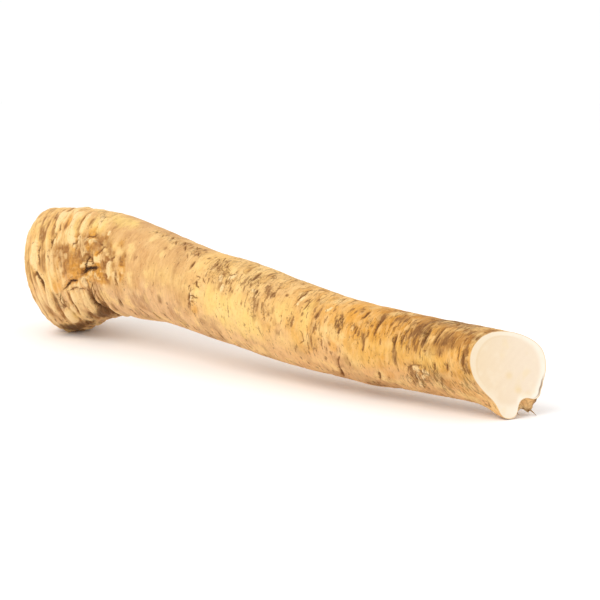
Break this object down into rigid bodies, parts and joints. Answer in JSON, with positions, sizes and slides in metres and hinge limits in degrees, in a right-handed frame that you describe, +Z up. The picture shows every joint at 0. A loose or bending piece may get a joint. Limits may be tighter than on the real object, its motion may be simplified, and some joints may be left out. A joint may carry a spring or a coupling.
{
  "type": "horseradish root",
  "caption": "Whole raw root with a fat trimmed crown, a long bending body with ringed wrinkles, and a slanting knife cut at the thin end.",
  "frame": {"origin": "middle of the root's bounding box in plan, on the surface it lies on", "axes": "+X along the root from the crown to the knife cut, +Z up, -Y towards the side the cut turns to"},
  "size_m": [0.301, 0.0628, 0.0633],
  "materials": {
    "bark": "matte"
  },
  "bodies": {
    "root": {"horseradish_root": "bark"}
  },
  "joints": []
}
